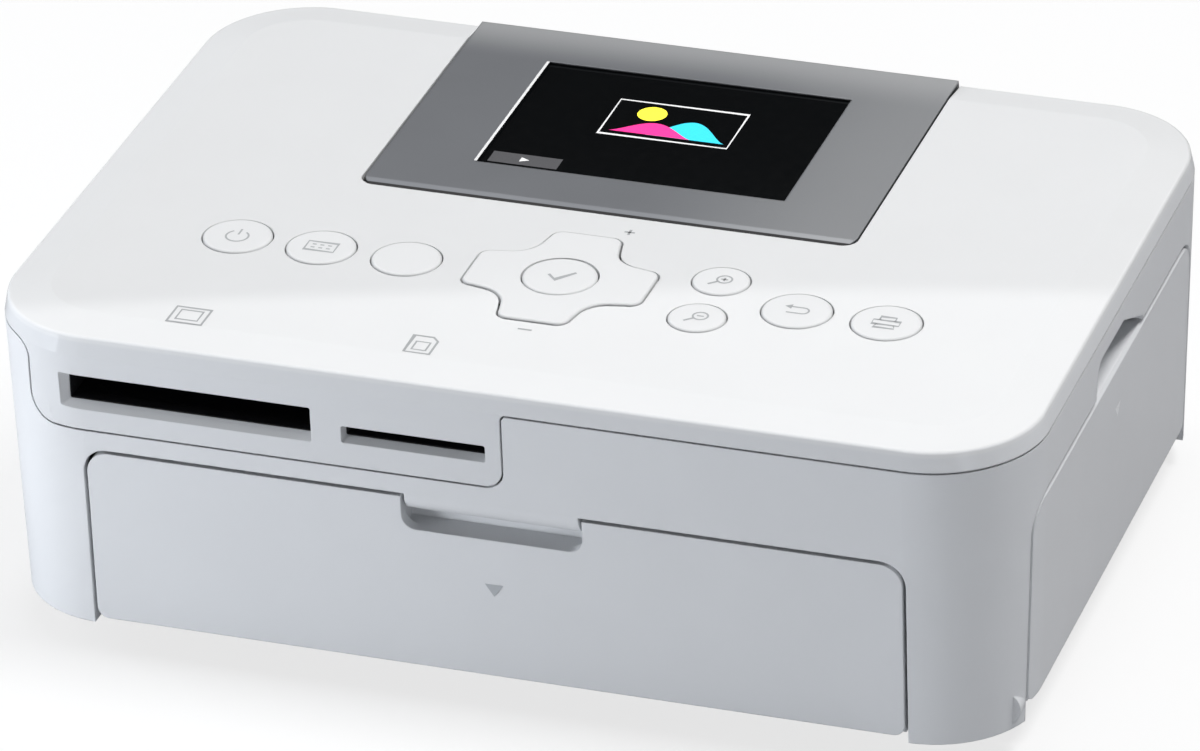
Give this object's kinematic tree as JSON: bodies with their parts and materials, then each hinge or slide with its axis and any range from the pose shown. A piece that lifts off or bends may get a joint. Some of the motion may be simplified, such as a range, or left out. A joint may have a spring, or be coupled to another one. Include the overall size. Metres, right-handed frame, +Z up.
{
  "type": "compact photo printer",
  "caption": "Flat rounded-box dye-sublimation photo printer with a tilting display, key row, card slots in a front bezel, hinged paper and ribbon doors and rear paper slot.",
  "frame": {"origin": "on the table, centre of the footprint", "axes": "+X to the printer's right seen from the front, +Y to the back, +Z up"},
  "size_m": [0.178, 0.127, 0.0609],
  "materials": {
    "cover_white": "gloss",
    "case_white": "satin",
    "base_grey": "matte",
    "foot_rubber": "matte",
    "screw_steel": "satin",
    "liner_grey": "matte",
    "pin_steel": "satin",
    "board_green": "satin",
    "switch_black": "matte",
    "connector_black": "matte",
    "connector_steel": "satin",
    "chassis_steel": "satin",
    "bush_nylon": "satin",
    "motor_steel": "satin",
    "fan_black": "matte",
    "panel_silver": "satin",
    "panel_back_grey": "matte",
    "lcd_dark": "satin",
    "window_black": "gloss",
    "key_white": "satin",
    "shaft_steel": "polished",
    "roller_rubber": "matte",
    "gear_nylon": "satin",
    "pinion_brass": "satin",
    "sink_aluminium": "satin",
    "strip_ceramic": "gloss"
  },
  "bodies": {
    "case": {"top_cover": "cover_white", "main_case": "case_white", "base_plate": "base_grey", "feet": "foot_rubber", "case_screws": "screw_steel", "machine_screws": "screw_steel", "bay_liner": "liner_grey", "ribbon_liner": "liner_grey", "door_pins": "pin_steel", "key_board": "board_green", "key_switches": "switch_black", "card_board": "board_green", "cf_connector": "connector_black", "sd_connector": "connector_steel", "main_board": "board_green", "io_board": "board_green", "dc_jack": "connector_black", "usb_port": "connector_steel", "chassis_frame": "chassis_steel", "bushes": "bush_nylon", "gear_pins": "pin_steel", "motor_bracket": "chassis_steel", "feed_motor": "motor_steel", "ribbon_motor": "motor_steel", "fan_housing": "fan_black"},
    "paper_door": {"front_door": "case_white"},
    "ribbon_door": {"side_door": "case_white"},
    "display": {"panel_frame": "panel_silver", "panel_back": "panel_back_grey", "panel_pins": "pin_steel", "lcd_module": "lcd_dark", "lcd_window": "window_black"},
    "pad_ring": {"dpad_carrier": "switch_black"},
    "pad": {"dpad": "key_white"},
    "ok_key": {"ok_button": "key_white"},
    "power_key": {"power_button": "key_white"},
    "menu_key": {"menu_button": "key_white"},
    "edit_key": {"edit_button": "key_white"},
    "zoom_in_key": {"zoom_in_button": "key_white"},
    "zoom_out_key": {"zoom_out_button": "key_white"},
    "back_key": {"back_button": "key_white"},
    "print_key": {"print_button": "key_white"},
    "platen": {"platen_shaft": "shaft_steel", "platen_roller": "roller_rubber", "platen_gear": "gear_nylon"},
    "capstan": {"capstan_shaft": "shaft_steel", "capstan_gear": "gear_nylon"},
    "idler_gear": {"feed_idler": "gear_nylon"},
    "pickup_gear": {"pickup_idler": "gear_nylon"},
    "pickup": {"pickup_shaft": "gear_nylon", "pickup_rolls": "roller_rubber"},
    "pinch": {"pinch_roller": "shaft_steel"},
    "feed_drive": {"feed_pinion": "pinion_brass"},
    "ribbon_drive": {"ribbon_pinion": "pinion_brass"},
    "takeup": {"takeup_spindle": "gear_nylon"},
    "supply": {"supply_spindle": "gear_nylon"},
    "head": {"head_arm": "chassis_steel", "head_heatsink": "sink_aluminium", "head_strip": "strip_ceramic"},
    "fan": {"fan_rotor": "fan_black"}
  },
  "joints": [
    {"name": "front_door_hinge", "type": "hinge", "parent": "case", "child": "paper_door", "pos_m": [0, -0.05873, 0.0088], "axis": [1, 0, 0], "range_deg": [0, 90]},
    {"name": "side_door_hinge", "type": "hinge", "parent": "case", "child": "ribbon_door", "pos_m": [0.08349, 0, 0.0087], "axis": [0, 1, 0], "range_deg": [0, 90]},
    {"name": "panel_tilt", "type": "hinge", "parent": "case", "child": "display", "pos_m": [0, 0.0017, 0.0585], "axis": [1, 0, 0], "range_deg": [0, 45]},
    {"name": "power_press", "type": "slide", "parent": "case", "child": "power_key", "axis": [0, 0, -1], "range_m": [0, 0.0005], "stiffness_N_per_m": 400, "springref_m": -0.0005},
    {"name": "menu_press", "type": "slide", "parent": "case", "child": "menu_key", "axis": [0, 0, -1], "range_m": [0, 0.0005], "stiffness_N_per_m": 400, "springref_m": -0.0005},
    {"name": "edit_press", "type": "slide", "parent": "case", "child": "edit_key", "axis": [0, 0, -1], "range_m": [0, 0.0005], "stiffness_N_per_m": 400, "springref_m": -0.0005},
    {"name": "zoom_in_press", "type": "slide", "parent": "case", "child": "zoom_in_key", "axis": [0, 0, -1], "range_m": [0, 0.0005], "stiffness_N_per_m": 400, "springref_m": -0.0005},
    {"name": "zoom_out_press", "type": "slide", "parent": "case", "child": "zoom_out_key", "axis": [0, 0, -1], "range_m": [0, 0.0005], "stiffness_N_per_m": 400, "springref_m": -0.0005},
    {"name": "back_press", "type": "slide", "parent": "case", "child": "back_key", "axis": [0, 0, -1], "range_m": [0, 0.0005], "stiffness_N_per_m": 400, "springref_m": -0.0005},
    {"name": "print_press", "type": "slide", "parent": "case", "child": "print_key", "axis": [0, 0, -1], "range_m": [0, 0.0005], "stiffness_N_per_m": 400, "springref_m": -0.0005},
    {"name": "ok_press", "type": "slide", "parent": "case", "child": "ok_key", "axis": [0, 0, -1], "range_m": [0, 0.0005], "stiffness_N_per_m": 400, "springref_m": -0.0005},
    {"name": "pad_pitch", "type": "hinge", "parent": "case", "child": "pad_ring", "pos_m": [0, -0.0243, 0.0569], "axis": [1, 0, 0], "range_deg": [-1.5, 1.5], "stiffness_Nm_per_rad": 0.5},
    {"name": "pad_roll", "type": "hinge", "parent": "pad_ring", "child": "pad", "pos_m": [0, -0.0243, 0.0569], "axis": [0, 1, 0], "range_deg": [-1.5, 1.5], "stiffness_Nm_per_rad": 0.5},
    {"name": "platen_spin", "type": "hinge", "parent": "case", "child": "platen", "pos_m": [0, 0.012, 0.0165], "axis": [1, 0, 0], "continuous": true},
    {"name": "idler_spin", "type": "hinge", "parent": "case", "child": "idler_gear", "pos_m": [0, 0.02841, 0.02183], "axis": [1, 0, 0], "continuous": true},
    {"name": "capstan_spin", "type": "hinge", "parent": "case", "child": "capstan", "pos_m": [0, 0.047, 0.0194], "axis": [1, 0, 0], "continuous": true},
    {"name": "feed_pinion_spin", "type": "hinge", "parent": "case", "child": "feed_drive", "pos_m": [0, 0.04404, 0.03334], "axis": [1, 0, 0], "continuous": true},
    {"name": "pinch_spin", "type": "hinge", "parent": "case", "child": "pinch", "pos_m": [0, 0.047, 0.0247], "axis": [1, 0, 0], "continuous": true},
    {"name": "pickup_idler_spin", "type": "hinge", "parent": "case", "child": "pickup_gear", "pos_m": [0, -0.00753, 0.02608], "axis": [1, 0, 0], "continuous": true},
    {"name": "pickup_spin", "type": "hinge", "parent": "case", "child": "pickup", "pos_m": [0, -0.0285, 0.025], "axis": [1, 0, 0], "continuous": true},
    {"name": "takeup_spin", "type": "hinge", "parent": "case", "child": "takeup", "pos_m": [0, 0.0325, 0.0335], "axis": [1, 0, 0], "continuous": true},
    {"name": "ribbon_pinion_spin", "type": "hinge", "parent": "case", "child": "ribbon_drive", "pos_m": [0, 0.0192, 0.03584], "axis": [1, 0, 0], "continuous": true},
    {"name": "supply_spin", "type": "hinge", "parent": "case", "child": "supply", "pos_m": [0, -0.009, 0.0335], "axis": [1, 0, 0], "continuous": true},
    {"name": "fan_spin", "type": "hinge", "parent": "case", "child": "fan", "pos_m": [0, -0.022, 0.024], "axis": [1, 0, 0], "continuous": true},
    {"name": "head_drop", "type": "hinge", "parent": "case", "child": "head", "pos_m": [0, 0.041, 0.0462], "axis": [1, 0, 0], "range_deg": [0, 7.6], "stiffness_Nm_per_rad": 0.5, "springref_deg": -6.88}
  ],
  "couplings": [
    {"joint": "idler_spin", "follows": "platen_spin", "ratio": -0.91667},
    {"joint": "capstan_spin", "follows": "platen_spin", "ratio": 0.84615},
    {"joint": "feed_pinion_spin", "follows": "platen_spin", "ratio": -1.8333},
    {"joint": "pinch_spin", "follows": "platen_spin", "ratio": -0.91667},
    {"joint": "pickup_idler_spin", "follows": "platen_spin", "ratio": -0.61111},
    {"joint": "pickup_spin", "follows": "platen_spin", "ratio": 1.1},
    {"joint": "ribbon_pinion_spin", "follows": "takeup_spin", "ratio": -2}
  ]
}
